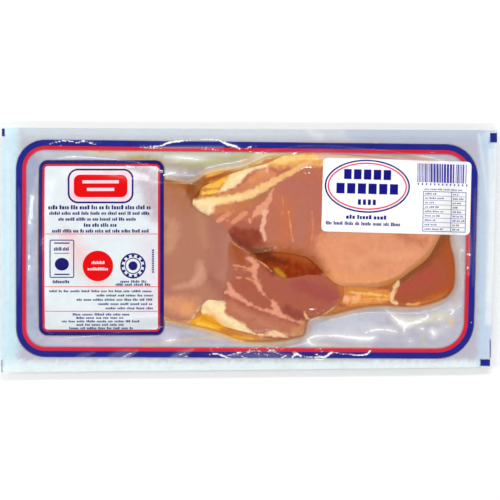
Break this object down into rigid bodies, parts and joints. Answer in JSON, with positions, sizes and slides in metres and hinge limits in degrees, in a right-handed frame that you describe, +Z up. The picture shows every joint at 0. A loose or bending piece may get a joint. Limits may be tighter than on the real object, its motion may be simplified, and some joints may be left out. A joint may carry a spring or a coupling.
{
  "type": "sealed pack of sliced back bacon",
  "caption": "Flat vacuum pack of sliced back bacon: clear film drawn down over overlapping rashers, a flat sealed border all round and a sticker on the face.",
  "frame": {"origin": "under the middle of the pack's outline, on the surface that it lies on", "axes": "+X along the pack's length towards the end with the sticker, +Y across the pack towards the edge that the sticker is near, +Z up through the printed face"},
  "size_m": [0.274, 0.135, 0.0148],
  "materials": {
    "film": "gloss",
    "sticker_paper": "satin",
    "meat": "gloss",
    "ink": "gloss"
  },
  "bodies": {
    "root": {"sealed_pack": "film", "sticker": "sticker_paper"}
  },
  "joints": []
}
